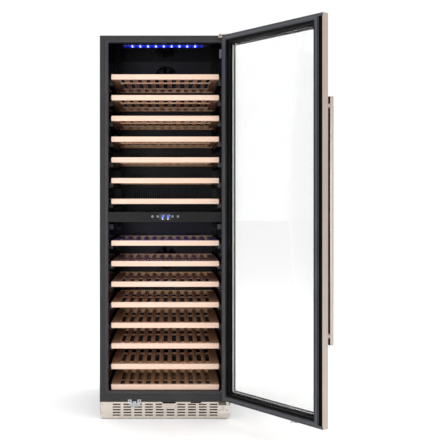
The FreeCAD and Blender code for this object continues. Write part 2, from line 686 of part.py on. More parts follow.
def power_inlet():
    """A flush appliance inlet in the back, with three blades and no lead."""
    case = block(("-232", "-204"), (f"{BACK} - 24", f"{BACK} + back_sheet"), ("58", "80"), "inlet_case")
    well = block(("-229", "-207"), (f"{BACK} - 14", f"{BACK} + 3"), ("61", "77"), "inlet_well")
    blades = [block((place - 1, place + 1), (f"{BACK} - 15", f"{BACK} - 3"), ("67", "71"), "blade")
              for place in (-224, -218, -212)]
    keep(fuse([cut(case, well)] + blades), "power_inlet")


# ---------------------------------------------------------------- hinges, keeper and door
def hinge_parts():
    """The two hinge brackets, each with the hole for its pin, and the pins."""
    at = (HINGE_X, HINGE_Y)
    side = ("cabinet_width / 2 - 54", "cabinet_width / 2 - 0.5")
    reach = f"({FRONT} - 44)"
    top = fuse([
        block(side, (reach, FRONT), ("cabinet_height - 4", "cabinet_height"), "top_arm"),
        block(side, (f"{FRONT} - 2.5", FRONT), ("cabinet_height - 10", "cabinet_height"), "top_flange"),
    ])
    pin_hole = rod("Z", at, ("60", "cabinet_height + 1"), "pin_radius", "pin_hole")
    keep(cut(top, pin_hole), "upper_hinge")
    face = f"({KICK} - 3)"
    knuckle_top = "(door_bottom - 1)"
    rib = Part.makePolygon([FreeCAD.Vector(0, -303, 72), FreeCAD.Vector(0, -303, 36),
                            FreeCAD.Vector(0, -340, 72), FreeCAD.Vector(0, -303, 72)])
    rib = Part.Face(rib).extrude(FreeCAD.Vector(3, 0, 0))
    rib.translate(FreeCAD.Vector(262, 0, 0))
    low = fuse([
        block(side, (face, KICK), ("26", "76"), "low_plate"),
        block(side, (reach, KICK), ("72", "76"), "low_arm"),
        rod("Z", at, ("76", knuckle_top), "bush_radius", "knuckle"),
        shaped(rib, "gusset"),
    ])
    screws = [screw("Y", (across, up), face, 5, way=-1) for across, up in ((252, 64), (252, 40), (283, 64), (283, 40))]
    keep(cut(low, group([pin_hole] + screws)), "lower_hinge")
    top_pin = rod("Z", at, ("door_top - bush_length", "cabinet_height"), "pin_radius", "top_pin")
    low_pin = rod("Z", at, ("72", "door_bottom + bush_length"), "pin_radius", "low_pin")
    keep(group([top_pin, low_pin]), "hinge_pins")
    return screws


def door_keeper():
    """The keeper that the lock's tab turns behind: a plate, a ledge, a tongue and two ears."""
    left, right = "(lock_place - 30)", "(lock_place + 30)"
    body = fuse([
        block((left, right), (f"{KICK} - 2", KICK), ("54", "78"), "keeper_plate"),
        block((left, right), (f"{KICK} - 24", KICK), ("76", "78"), "keeper_ledge"),
        block(("lock_place - 8", "lock_place + 8"), (f"{KICK} - 24", f"{KICK} - 22"), ("76", "85"), "tongue"),
        block((left, "lock_place - 13"), (f"{KICK} - 18", f"{KICK} - 16"), ("76", "92"), "ear"),
        block(("lock_place + 13", right), (f"{KICK} - 18", f"{KICK} - 16"), ("76", "92"), "ear"),
    ])
    cutters = []
    for side in (-1, 1):
        at = (f"lock_place + {side} * 21.5", "85")
        cutters.append(rod("Y", at, (f"{KICK} - 20", f"{KICK} - 14"), "3.2", "ear_hole"))
        corner = size("lock_place") + side * 31
        cutters.append(wedge([(corner, 53), (corner - side * 19, 53), (corner, 73)], f"({KICK} - 2)"))
    keep(cut(body, group(cutters)), "door_keeper")


def on_door(pieces, label):
    """Turns pieces made for the closed door to where the open door holds them."""
    item = group(pieces)
    hinge = FreeCAD.Vector(size(HINGE_X), size(HINGE_Y), 0)
    turn = FreeCAD.Rotation(Z_AXIS, size("door_open_angle"))
    item.Placement = FreeCAD.Placement(FreeCAD.Vector(), turn, hinge)
    return keep(item, label)


def handle_parts():
    across = "(-cabinet_width / 2 + handle_inset)"
    line = f"({DOOR_FACE} - handle_standoff)"
    levels = ("(handle_low + post_end)", "(handle_high - post_end)")
    bar = rod("Z", (across, line), ("handle_low", "handle_high"), "handle_radius", "bar")
    ends = rounded(bar, 1.2, lambda edge: edge.Curve.TypeId == "Part::GeomCircle", "bar_ends")
    on_door([ends], "handle_bar")
    screws = []
    posts = []
    for level in levels:
        head = rod("Y", (across, level), (f"{GLASS_FACE} + 1.5", f"{GLASS_FACE} + 5"), "4.5", "bolt_head")
        shank = rod("Y", (across, level), (f"{DOOR_FACE} - 16", f"{GLASS_FACE} + 1.5"), "2.5", "bolt")
        screws.append(fuse([head, shank], "handle_screw"))
        post = rod("Y", (across, level), (line, DOOR_FACE), "post_radius", "post")
        posts.append(post)
    on_door([cut(group(posts), group(screws + [bar]))], "handle_posts")
    on_door(screws, "handle_screws")
    return screws


def door():
    at = (HINGE_X, HINGE_Y)
    bushes = []
    wells = []
    for low, high in (("door_bottom", "door_bottom + bush_length"), ("door_top - bush_length", "door_top")):
        outside = rod("Z", at, (low, high), "bush_radius", "bush")
        wells.append(outside)
        bushes.append(cut(outside, rod("Z", at, (low, high), "pin_radius + running_gap", "bush_bore"), "bush"))
    on_door(bushes, "hinge_bushes")
    lock_at = ("lock_place", HINGE_Y)
    barrel = fuse([
        rod("Z", lock_at, ("door_bottom - 2", "door_bottom"), "12", "lock_flange"),
        rod("Z", lock_at, ("door_bottom", "door_bottom + 24"), "9", "lock_barrel"),
    ])
    bore = rod("Z", lock_at, ("door_bottom - 3", "door_bottom + 18"), "5 + running_gap", "lock_bore")
    on_door([cut(barrel, bore)], "lock_cylinder")
    place = "lock_place"
    arm = fuse([
        rod("Z", lock_at, ("door_bottom - 8.5", "door_bottom + 16"), "5", "spindle"),
        rod("Z", lock_at, ("door_bottom - 8.5", "door_bottom - 6.5"), "8", "cam_round"),
        block((place, f"{place} + 27"), (f"{HINGE_Y} - 6", f"{HINGE_Y} + 6"),
              ("door_bottom - 8.5", "door_bottom - 6.5"), "cam_arm"),
        block((f"{place} + 25", f"{place} + 27"), (f"{HINGE_Y} - 6", f"{HINGE_Y} + 6"),
              ("door_bottom - 14.5", "door_bottom - 6.5"), "cam_tab"),
    ])
    on_door([arm], "lock_cam")
    screws = handle_parts()
    holes = group(wells + [barrel] + screws)

    skin = door_ring("0", "door_border", DOOR_FACE, DOOR_BACK, "skin", "0")
    (left, right), (low, high) = inset("door_sheet", "0")
    channel = block((left, right), (f"{DOOR_FACE} + door_sheet", f"{DOOR_BACK} - door_sheet"), (low, high), "channel")
    (left, right), (low, high) = inset("door_lip", "0")
    back = block((left, right), (f"{DOOR_BACK} - door_sheet - 1", f"{DOOR_BACK} + 1"), (low, high), "lip_hole")
    skin = cut(cut(cut(skin, channel), back), holes)
    on_door([skin], "door_frame")

    glass_back = f"({GLASS_FACE} + 2 * glass_thick + spacer_depth)"
    body = door_ring("door_sheet", "glass_inset", f"({DOOR_FACE} + door_sheet)", f"({DOOR_BACK} - door_sheet)",
                     "liner_body", "0")
    step = door_ring("(door_lip + 0.2)", "glass_opening", glass_back, DOOR_BACK, "liner_step", "0")
    slot = door_ring("(door_lip + 0.2)", "gasket_inset", f"({DOOR_BACK} - 5)", f"({DOOR_BACK} + 1)",
                     "liner_slot", "0")
    on_door([cut(cut(fuse([body, step]), slot), holes)], "door_liner")

    (left, right), (low, high) = inset("glass_inset")
    panes = []
    for near in (GLASS_FACE, f"({GLASS_FACE} + glass_thick + spacer_depth)"):
        panes.append(block((left, right), (near, f"{near} + glass_thick"), (low, high), "pane"))
    on_door(panes, "glass_panes")
    near = f"({GLASS_FACE} + glass_thick)"
    on_door([door_ring("spacer_inset", "(spacer_inset + spacer_width)", near, f"{near} + spacer_depth", "spacer")],
            "glass_spacer")
    base_in, base_out = "gasket_inset", "(gasket_inset + gasket_width)"
    on_door([fuse([
        door_ring(base_in, base_out, DOOR_BACK, f"({DOOR_BACK} + 4)", "gasket_base"),
        door_ring(f"({base_in} + 3)", f"({base_out} - 3)", f"({DOOR_BACK} + 4)", f"({DOOR_BACK} + 7.7)", "bellows"),
        door_ring(f"({base_in} + 1)", f"({base_out} - 1)", f"({DOOR_BACK} + 7.7)", f"({FRONT} - 0.3)", "magnet"),
    ])], "gasket")


# ---------------------------------------------------------------- the whole cooler
cabinet_shell()
back_panel()
lining("upper_liner", "panel_top", "opening_top", False)
lining("lower_liner", "opening_bottom", "panel_bottom", True)
insulation()
zone_divider()
front_frame()
screws = air_system()
controls()
lights()
shelves()
shelf_rails()
base()
compressor()
power_inlet()
screws += hinge_parts()
door_keeper()
door()
fold, plate = kick_grille()
screws += [screw("Y", (-288, up), KICK, 5) for up in (66, 28)]
keep(group([cut(fold, group(screws)), plate]), "kick_grille")
keep(group(screws), "cabinet_screws")

doc.recompute()
for item in doc.Objects:
    if "Invalid" in item.State or "Error" in item.State:
        raise RuntimeError(f"{item.Label} failed: {item.State}")
for item in parts:
    if item.Shape.isNull() or not item.Shape.isValid():
        raise RuntimeError(f"{item.Label} has no valid shape")

os.makedirs("parts", exist_ok=True)
for item in parts:
    item.Shape.exportStep(f"parts/{item.Label}.step")
print(f"{len(parts)} sub-parts, {sum(len(item.Shape.Solids) for item in parts)} solids")
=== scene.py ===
import json
import math

import bmesh
import bpy
from mathutils import Matrix, Vector


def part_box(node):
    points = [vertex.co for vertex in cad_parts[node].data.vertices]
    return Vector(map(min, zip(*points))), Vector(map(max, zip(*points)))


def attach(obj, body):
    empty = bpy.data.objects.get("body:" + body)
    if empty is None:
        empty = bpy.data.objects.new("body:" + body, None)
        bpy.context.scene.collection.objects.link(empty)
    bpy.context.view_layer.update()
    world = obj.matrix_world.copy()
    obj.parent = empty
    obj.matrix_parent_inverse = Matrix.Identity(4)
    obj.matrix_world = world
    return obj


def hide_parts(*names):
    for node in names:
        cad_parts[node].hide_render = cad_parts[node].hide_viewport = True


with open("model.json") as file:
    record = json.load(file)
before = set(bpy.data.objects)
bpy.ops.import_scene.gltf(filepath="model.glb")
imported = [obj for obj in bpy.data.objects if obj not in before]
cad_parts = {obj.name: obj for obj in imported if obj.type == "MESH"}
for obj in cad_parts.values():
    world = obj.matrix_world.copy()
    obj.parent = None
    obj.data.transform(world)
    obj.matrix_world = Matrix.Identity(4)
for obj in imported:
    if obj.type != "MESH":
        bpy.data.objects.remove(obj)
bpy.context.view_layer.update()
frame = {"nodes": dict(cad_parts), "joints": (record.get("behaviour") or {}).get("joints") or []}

MM = 0.001

# ------------------------------------------------------------------ places from the frame
JOINTS = {joint["name"]: joint for joint in frame["joints"]}
DOOR_TURN = math.radians(-JOINTS["door_hinge"]["range_deg"][0])
HINGE = Vector(JOINTS["door_hinge"]["pos_m"])
HINGE.z = 0.0
OPEN = Matrix.Translation(HINGE) @ Matrix.Rotation(DOOR_TURN, 4, "Z") @ Matrix.Translation(-HINGE)
SHELVES = [f"shelf_{number:02d}" for number in range(1, 16)]
BUTTONS = ("button_power", "button_light", "button_up", "button_down")

# the closed door, in millimetres: its outline as left, bottom, right and top, and its depths
DOOR = (-297.5, 94.5, 297.5, 1746.0)
DOOR_BACK = -327.0
RISE_TRIM = 8.0
SEAL_INSET = 20.7
SPACER_NEAR, SPACER_FAR, SPACER_SEALANT = -338.4, -352.0, -346.5
SPACER_OUT, SPACER_IN, BORDER_IN = 49.6, 56.5, 61.5

# the handle's axis across and deep, and the arc and runs of the black strip on its door side: painted shade
# and a painted reflection of the dark door front
GRIP = (-274.5, -401.5)
GRIP_RADIUS = 11.25
GRIP_SHADE_ARC = (42.0, 116.0)
GRIP_SHADE_RUNS = ((419.5, 446.0), (466.0, 1372.0), (1392.0, 1418.5))

# a shelf's section, in millimetres from its underside
STRIP_DEEP = 18.0
STRIP_HALF, BACK_STRIP_HALF = 246.5, 240.0
BOARD_LOW, BOARD_TALL = 5.0, 14.0
BOARD_IN, BOARD_OUT = 210.0, 250.0
SLATS, SLAT_PITCH, SLAT_HALF = 10, 40.2, 10.0
SLAT_CROWN, SLAT_SHOULDER = 6.6, 0.8
BAR_LOW, BAR_HALF, BAR_REACH = 0.5, 12.0, 214.0
FULL_BARS, SHORT_BARS = (0.3, 0.723), (0.5,)
SHORTEST_FULL = 400

# the control panel's figures and the rooms' lamps
PANEL_FACE = -315.2
FIGURE_STARTS, FIGURE_PITCH, FIGURE_LOW = (-20.5, 5.0), 8.8, 918.5
LAMP_START, LAMP_PITCH, LAMPS = -153.5, 36.6, 9
LAMP_RADIUS = 2.9


# ------------------------------------------------------------------ materials
def linear(colour):
    """An sRGB hex colour as linear red, green, blue and 1."""
    parts = [int(colour[place:place + 2], 16) / 255 for place in (1, 3, 5)]
    return [part / 12.92 if part <= 0.04045 else ((part + 0.055) / 1.055) ** 2.4 for part in parts] + [1.0]


def add(tree, kind, settings=None, links=None):
    """Adds a node; settings are its properties or its sockets' values, and links feed its sockets."""
    item = tree.nodes.new(kind)
    for name, value in (settings or {}).items():
        if isinstance(name, str) and hasattr(item, name):
            setattr(item, name, value)
        else:
            item.inputs[name].default_value = value
    for name, source in (links or {}).items():
        tree.links.new(source, item.inputs[name])
    return item


def new_material(name, settings):
    """A material with one Principled shader whose plain values are set on its own sockets."""
    made = bpy.data.materials.new(name)
    made.use_nodes = True
    tree = made.node_tree
    tree.nodes.clear()
    shader = add(tree, "ShaderNodeBsdfPrincipled", settings)
    add(tree, "ShaderNodeOutputMaterial", links={"Surface": shader.outputs["BSDF"]})
    return made, tree, shader


def stretched(tree, size_mm, along=None, run=1.0):
    """Object coordinates in cycles of a real size, drawn out along one axis by a number of times."""
    place = add(tree, "ShaderNodeTexCoord")
    scale = [1000.0 / size_mm] * 3
    if along is not None:
        scale["XYZ".index(along)] /= run
    mapped = add(tree, "ShaderNodeMapping", {"Scale": scale}, {"Vector": place.outputs["Object"]})
    return mapped.outputs["Vector"]


def noise(tree, size_mm, along=None, run=1.0, detail=3.0, rough=0.6):
    return add(tree, "ShaderNodeTexNoise", {"Scale": 1.0, "Detail": detail, "Roughness": rough},
               {"Vector": stretched(tree, size_mm, along, run)}).outputs["Fac"]


def ramp(tree, source, stops):
    """A colour ramp from (position, hex colour) stops."""
    item = add(tree, "ShaderNodeValToRGB", links={"Fac": source})
    points = item.color_ramp.elements
    while len(points) < len(stops):
        points.new(0.5)
    for point, (place, colour) in zip(points, stops):
        point.position = place
        point.color = linear(colour)
    return item.outputs["Color"]


def mixed(tree, first, second, share):
    """Two colours mixed; the share is a number or a socket."""
    item = add(tree, "ShaderNodeMix", {"data_type": "RGBA"})
    for place, source in ((0, share), (6, first), (7, second)):
        if isinstance(source, (int, float, list)):
            item.inputs[place].default_value = source
        else:
            tree.links.new(source, item.inputs[place])
    return item.outputs[2]


def bump(tree, shader, height, strength, depth_mm):
    settings = {"Strength": strength, "Distance": depth_mm * MM}
    item = add(tree, "ShaderNodeBump", settings, {"Height": height})
    tree.links.new(item.outputs["Normal"], shader.inputs["Normal"])


def spread(tree, source, low, high, start=0.0, end=1.0):
    """Maps one range of a value to another."""
    settings = {"From Min": start, "From Max": end, "To Min": low, "To Max": high}
    return add(tree, "ShaderNodeMapRange", settings, {"Value": source}).outputs["Result"]


def beech(name, along, pale, mid, dark):
    """Steamed beech, planed and clear lacquered: pale peach with soft long bands and short darker flecks."""
    made, tree, shader = new_material(name, {"Coat Weight": 0.12, "Coat Roughness": 0.35})
    bands = noise(tree, 11.0, along, 16.0, 4.0)
    fibres = noise(tree, 1.8, along, 24.0, 3.0, 0.7)
    flecks = noise(tree, 2.4, along, 3.5, 1.0)
    board = noise(tree, 90.0, along, 3.0, 1.0)
    broad = ramp(tree, bands, [(0.32, mid), (0.5, pale), (0.7, mid)])
    fine = ramp(tree, fibres, [(0.34, dark), (0.58, pale)])
    grain = mixed(tree, broad, fine, 0.3)
    toned = mixed(tree, grain, linear(mid), spread(tree, board, 0.0, 0.55, 0.35, 0.7))
    marks = spread(tree, flecks, 0.0, 0.5, 0.64, 0.76)
    tree.links.new(mixed(tree, toned, linear(dark), marks), shader.inputs["Base Color"])
    tree.links.new(spread(tree, fibres, 0.36, 0.56), shader.inputs["Roughness"])
    bump(tree, shader, fibres, 0.25, 0.08)
    return made


def powder_coat(name, dark, light):
    """Satin powder coat on sheet steel: near black, its gloss broken up by a fine orange-peel skin."""
    made, tree, shader = new_material(name, {"Specular IOR Level": 0.45})
    peel = noise(tree, 1.1, detail=2.0)
    cloud = noise(tree, 160.0, detail=2.0)
    tree.links.new(ramp(tree, cloud, [(0.3, dark), (0.7, light)]), shader.inputs["Base Color"])
    tree.links.new(spread(tree, cloud, 0.34, 0.46), shader.inputs["Roughness"])
    bump(tree, shader, peel, 0.18, 0.12)
    return made


def zinc(name):
    """Zinc-plated sheet: dull grey metal with small faint crystals, each a slightly different grey."""
    made, tree, shader = new_material(name, {"Metallic": 0.85})
    cells = add(tree, "ShaderNodeTexVoronoi", {"Scale": 1.0}, {"Vector": stretched(tree, 7.0)})
    tree.links.new(ramp(tree, cells.outputs["Color"], [(0.1, "#9a9da0"), (0.9, "#a8abad")]),
                   shader.inputs["Base Color"])
    tree.links.new(spread(tree, noise(tree, 30.0), 0.38, 0.55), shader.inputs["Roughness"])
    bump(tree, shader, noise(tree, 2.0), 0.1, 0.05)
    return made


def brushed(name, along, pale, dark, low=0.22, high=0.38):
    """Brushed stainless steel: long fine scratches along one way, warm grey, with a soft streaked gloss."""
    made, tree, shader = new_material(name, {"Metallic": 1.0})
    streaks = noise(tree, 0.7, along, 90.0, 3.0, 0.7)
    sheen = noise(tree, 70.0, along, 5.0, 2.0)
    brushed_tone = ramp(tree, streaks, [(0.3, dark), (0.7, pale)])
    tree.links.new(mixed(tree, brushed_tone, linear(pale), spread(tree, sheen, 0.1, 0.6)),
                   shader.inputs["Base Color"])
    tree.links.new(spread(tree, streaks, low, high), shader.inputs["Roughness"])
    bump(tree, shader, streaks, 0.12, 0.03)
    return made


def plating(name, colour, light, low, high):
    """Smooth bright metal whose polish is a little uneven."""
    made, tree, shader = new_material(name, {"Metallic": 1.0})
    wear = noise(tree, 8.0)
    tree.links.new(ramp(tree, wear, [(0.3, colour), (0.8, light)]), shader.inputs["Base Color"])
    tree.links.new(spread(tree, wear, low, high), shader.inputs["Roughness"])
    return made


def moulded(name, dark, light, rough, grain_mm=0.6, strength=0.15, wave_mm=None, gloss=0.5):
    """Moulded plastic: a fine skin texture, or for a formed sheet a slow waviness, under its gloss."""
    made, tree, shader = new_material(name, {"Specular IOR Level": gloss})
    skin = noise(tree, wave_mm or grain_mm, detail=2.0)
    cloud = noise(tree, 120.0, detail=2.0)
    tree.links.new(ramp(tree, cloud, [(0.3, dark), (0.7, light)]), shader.inputs["Base Color"])
    tree.links.new(spread(tree, noise(tree, 25.0), rough * 0.85, rough * 1.2), shader.inputs["Roughness"])
    bump(tree, shader, skin, strength, 0.6 if wave_mm else 0.06)
    return made


def screws_by_place(name, divide_mm):
    """Zinc-plated screws at the front of the cooler, and blackened ones in its dark rooms behind."""
    made, tree, shader = new_material(name, {})
    place = add(tree, "ShaderNodeTexCoord").outputs["Object"]
    deep = add(tree, "ShaderNodeSeparateXYZ", links={"Vector": place}).outputs["Y"]
    black = spread(tree, deep, 0.0, 1.0, (divide_mm - 1) * MM, (divide_mm + 1) * MM)
    plated = ramp(tree, noise(tree, 3.0), [(0.3, "#a9a9a8"), (0.7, "#c4c3c0")])
    tree.links.new(mixed(tree, plated, linear("#070708"), black), shader.inputs["Base Color"])
    tree.links.new(spread(tree, black, 1.0, 0.0), shader.inputs["Metallic"])
    tree.links.new(spread(tree, black, 0.25, 0.5), shader.inputs["Roughness"])
    return made


def spacer_finish(name, shade_mm):
    """Anodised spacer bar, bright on its sides and foot; above shade_mm its top run is painted near black, a
    painted shadow on its down-facing face.
    """
    made, tree, shader = new_material(name, {"Roughness": 0.35})
    place = add(tree, "ShaderNodeTexCoord").outputs["Object"]
    high = add(tree, "ShaderNodeSeparateXYZ", links={"Vector": place}).outputs["Z"]
    # painted shade: near black above shade_mm, standing in for the shadow on the spacer's top run
    black = spread(tree, high, 0.0, 1.0, (shade_mm - 2) * MM, (shade_mm + 2) * MM)
    bright = ramp(tree, noise(tree, 9.0, "Z", 6.0), [(0.3, "#b2b5b0"), (0.7, "#c6c8c3")])
    tree.links.new(mixed(tree, bright, linear("#08090a"), black), shader.inputs["Base Color"])
    return made


def clear_glass(name):
    """Float glass, clear with the faint green of its iron; light dust makes its gloss uneven."""
    made, tree, shader = new_material(name, {"Transmission Weight": 1.0, "IOR": 1.45, "Alpha": 0.1})
    film = noise(tree, 240.0, detail=2.0)
    tree.links.new(ramp(tree, film, [(0.3, "#eef8f4"), (0.7, "#f8fdfb")]), shader.inputs["Base Color"])
    tree.links.new(spread(tree, film, 0.01, 0.04), shader.inputs["Roughness"])
    return made


def lit(name, colour, strength, base="#05060c"):
    """A lamp behind a thin diffusing cover, a touch brighter in some places than others."""
    made, tree, shader = new_material(name, {"Roughness": 0.35, "Base Color": linear(base),
                                             "Emission Color": linear(colour)})
    uneven = spread(tree, noise(tree, 6.0), strength * 0.9, strength * 1.1)
    tree.links.new(uneven, shader.inputs["Emission Strength"])
    return made


def light_strip(name, start, pitch, count):
    """A blue diffusing cover over a row of lamps: each makes a bright pool that fades to deep blue."""
    made, tree, shader = new_material(name, {"Roughness": 0.3, "Base Color": linear("#0a1238")})
    place = add(tree, "ShaderNodeTexCoord").outputs["Object"]
    across = add(tree, "ShaderNodeSeparateXYZ", links={"Vector": place}).outputs["X"]
    shifted = add(tree, "ShaderNodeMath", {"operation": "SUBTRACT", 1: start * MM}, {0: across})
    step = add(tree, "ShaderNodeMath", {"operation": "PINGPONG", 1: pitch * MM / 2}, {0: shifted.outputs[0]})
    near = spread(tree, step.outputs[0], 1.0, 0.0, 0.0, pitch * MM / 2)
    last = (start + pitch * (count - 0.6)) * MM
    right = spread(tree, across, 1.0, 0.0, last, (start + pitch * count) * MM)
    left = spread(tree, across, 0.0, 1.0, (start - pitch * 0.6) * MM, (start - pitch * 0.3) * MM)
    pools = add(tree, "ShaderNodeMath", {"operation": "MULTIPLY"}, {0: near, 1: left}).outputs[0]
    tree.links.new(ramp(tree, pools, [(0.0, "#0a14a8"), (0.7, "#1a2cff"), (1.0, "#8ea0ff")]),
                   shader.inputs["Emission Color"])
    glow = spread(tree, pools, 0.7, 2.4, 0.2, 1.0)
    tree.links.new(add(tree, "ShaderNodeMath", {"operation": "MULTIPLY"}, {0: glow, 1: right}).outputs[0],
                   shader.inputs["Emission Strength"])
    return made


def rigid_foam(name):
    """Blown polyurethane: pale tan with small open cells."""
    made, tree, shader = new_material(name, {"Roughness": 0.9})
    foam = add(tree, "ShaderNodeTexVoronoi", {"Scale": 1.0}, {"Vector": stretched(tree, 2.5)})
    cells = foam.outputs["Distance"]
    tree.links.new(ramp(tree, cells, [(0.0, "#c8a868"), (0.8, "#e6cf98")]), shader.inputs["Base Color"])
    bump(tree, shader, cells, 0.4, 0.5)
    return made


STRIP = beech("beech_strip_grain_across", "X", "#e8cdbb", "#dfbda6", "#c6a084")
# painted light: the back strips are the same beech as the front strips, made brighter and warmer to stand in
# for light reaching them
PAINTED_LIGHT_BACK_STRIP = beech("beech_back_painted_light", "X", "#fbd2a6", "#f2c090", "#cc986c")
SLAT = beech("beech_slat_grain_deep", "Y", "#e2b896", "#cb9d7a", "#97694a")
BAR = beech("beech_bar_grain_across", "X", "#f3d0ae", "#e4bc98", "#b98a64")
POWDER = powder_coat("black_powder_coat", "#0e0e10", "#161618")
ZINC = zinc("zinc_plated_sheet")
STEEL_UP = brushed("brushed_stainless_upright", "Z", "#c3b6ac", "#a1948b")
STEEL_ACROSS = brushed("brushed_stainless_across", "X", "#d6cdc4", "#aba198", 0.25, 0.42)
HINGE_STEEL = plating("satin_hinge_steel", "#d2ccc5", "#e0dbd5", 0.5, 0.65)
CHROME = plating("bright_chrome", "#a5a7aa", "#c9cacc", 0.1, 0.22)
ALUMINIUM = plating("mill_aluminium", "#b0b2b4", "#c6c8ca", 0.3, 0.42)
FRAME = moulded("charcoal_frame_moulding", "#282728", "#2e2d2e", 0.55, 0.7, 0.2, gloss=0.26)
STEP = moulded("slate_frame_lip", "#2a2a2e", "#313136", 0.45, 0.7, 0.15, gloss=0.3)
LINER = moulded("gloss_black_formed_liner", "#020203", "#040406", 0.16, strength=0.05, wave_mm=45.0,
                gloss=0.22)
COVER = moulded("satin_black_duct_cover", "#121218", "#191920", 0.4, 0.8, 0.1, gloss=0.2)
BLACK = moulded("matt_black_moulding", "#08080a", "#0e0e10", 0.5, 0.7, 0.2, gloss=0.3)
PANEL = moulded("satin_black_control_panel", "#0c0c0e", "#101012", 0.42, 0.9, 0.06, gloss=0.17)
SEAL = moulded("blue_grey_vinyl_seal", "#34363c", "#3f4147", 0.45, 1.6, 0.2, gloss=0.4)
LINER_DOOR = moulded("black_door_lining", "#040405", "#08090b", 0.35, 0.8, 0.1, gloss=0.22)
SMOKED = moulded("smoked_acrylic_window", "#121216", "#17171c", 0.3, 6.0, 0.02, gloss=0.4)
RAIL = moulded("satin_black_rail_moulding", "#101012", "#17171a", 0.35, 0.8, 0.1)
GREY = moulded("grey_switch_moulding", "#5b5c60", "#6a6b6f", 0.5, 0.7, 0.15)
MARK = moulded("pale_grey_printed_mark", "#a9acb2", "#bfc1c6", 0.5, 0.5, 0.1)
GLASS = clear_glass("clear_float_glass")
SCREWS = screws_by_place("plated_and_blackened_screws", -200)
# 1694 mm: above this height the spacer's top run gets painted shade
SPACER = spacer_finish("anodised_spacer_bar", 1694)
FOAM = rigid_foam("blown_insulation_foam")
DIGIT = lit("blue_display_segment", "#6478ff", 4.6)
DOT = lit("white_indicator_lamp", "#e8ecff", 5.0)
LED = lit("blue_white_lamp", "#c3cdff", 7.0)
STRIP_LIGHT = light_strip("blue_light_strip_cover", LAMP_START, LAMP_PITCH, LAMPS)

FINISHES = {
    POWDER: ("cabinet_shell", "compressor", "power_inlet", "condenser"),
    ZINC: ("back_panel", "base_tray", "levelling_feet"),
    FOAM: ("insulation",),
    FRAME: ("front_frame",),
    LINER: ("upper_liner", "lower_liner", "zone_divider"),
    COVER: ("upper_back_cover", "lower_back_cover"),
    BLACK: ("fan_frames", "upper_fan_rotor", "lower_fan_rotor", "condenser_fan_rotor", *BUTTONS),
    PANEL: ("control_panel",),
    SMOKED: ("display_window",),
    STRIP_LIGHT: ("led_bars",),
    ALUMINIUM: ("evaporators",),
    STEEL_UP: ("door_frame", "handle_bar", "handle_posts"),
    STEEL_ACROSS: ("kick_grille",),
    HINGE_STEEL: ("upper_hinge", "lower_hinge"),
    SCREWS: ("cabinet_screws",),
    GREY: ("door_switch",),
    RAIL: ("shelf_rails",),
    CHROME: ("hinge_pins", "door_keeper", "handle_screws", "hinge_bushes", "lock_cylinder",
             "lock_cam"),
    LINER_DOOR: ("door_liner",),
    GLASS: ("glass_panes",),
    SPACER: ("glass_spacer",),
    SEAL: ("gasket",),
    STRIP: tuple(SHELVES),
}
for finish, names in FINISHES.items():
    for name in names:
        data = frame["nodes"][name].data
        data.materials.clear()
        data.materials.append(finish)


# ------------------------------------------------------------------ building pieces
def piece(name, build, materials, body, nodes=(), turned=False, smooth=False):
    """Builds a mesh in millimetres, puts it in the frame, hangs it on the body it rides on, and hides the
    nodes it stands in for.
    """
    shape = bmesh.new()
    build(shape)
    bmesh.ops.recalc_face_normals(shape, faces=shape.faces)
    shape.transform(Matrix.Scale(MM, 4))
    if turned:
        shape.transform(OPEN)
    data = bpy.data.meshes.new(name)
    shape.to_mesh(data)
    shape.free()
    for material in materials:
        data.materials.append(material)
    if smooth:
        data.shade_smooth()
    made = bpy.data.objects.new(name, data)
    bpy.context.scene.collection.objects.link(made)
    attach(made, body)
    if nodes:
        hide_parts(*nodes)
    return made


def box(shape, low, high, material=0, round_by=0.0, chosen=None, steps=2):
    """A box between two corners whose chosen edges, or all of them, are rounded."""
    low, high = Vector(low), Vector(high)
    place = Matrix.Translation((low + high) / 2) @ Matrix.Diagonal((*(high - low), 1.0))
    made = bmesh.ops.create_cube(shape, size=1.0, matrix=place)["verts"]
    faces = {face for corner in made for face in corner.link_faces}
    for face in faces:
        face.material_index = material
    if round_by:
        edges = {edge for corner in made for edge in corner.link_edges}
        edges = [edge for edge in edges if chosen is None or chosen(edge)]
        bmesh.ops.bevel(shape, geom=edges, offset=round_by, offset_type="OFFSET", segments=steps,
                        profile=0.5, affect="EDGES", clamp_overlap=True, material=-1)


def runs(axis):
    def test(edge):
        way = edge.verts[0].co - edge.verts[1].co
        return abs(way["XYZ".index(axis)]) > 0.99 * way.length

    return test


def round_path(rect, radius, steps=5):
    """Points round a rectangle (left, bottom, right, top) with rounded corners."""
    left, bottom, right, top = rect
    centres = ((right - radius, top - radius), (left + radius, top - radius),
               (left + radius, bottom + radius), (right - radius, bottom + radius))
    points = []
    for corner, (across, up) in enumerate(centres):
        for step in range(steps + 1):
            angle = math.pi / 2 * (corner + step / steps)
            points.append((across + radius * math.cos(angle), up + radius * math.sin(angle)))
    return points


def shrink(rect, by):
    left, bottom, right, top = rect
    return left + by, bottom + by, right - by, top - by


def door_inset(by):
    """A rectangle inside the closed door, whose border is narrower at the top and bottom."""
    left, bottom, right, top = shrink(DOOR, by)
    return left, bottom - RISE_TRIM, right, top + RISE_TRIM


def hoop(shape, loops, closed=True, materials=None, steps=5):
    """A frame swept round a rectangle: each loop is (rectangle, corner radius, depth)."""
    rows = []
    for rect, radius, deep in loops:
        rows.append([shape.verts.new((across, deep, up)) for across, up in round_path(rect, radius, steps)])
    pairs = list(zip(rows, rows[1:] + rows[:1])) if closed else list(zip(rows, rows[1:]))
    for number, (near, far) in enumerate(pairs):
        for place in range(len(near)):
            following = (place + 1) % len(near)
            face = shape.faces.new((near[place], near[following], far[following], far[place]))
            face.material_index = materials[number] if materials else 0


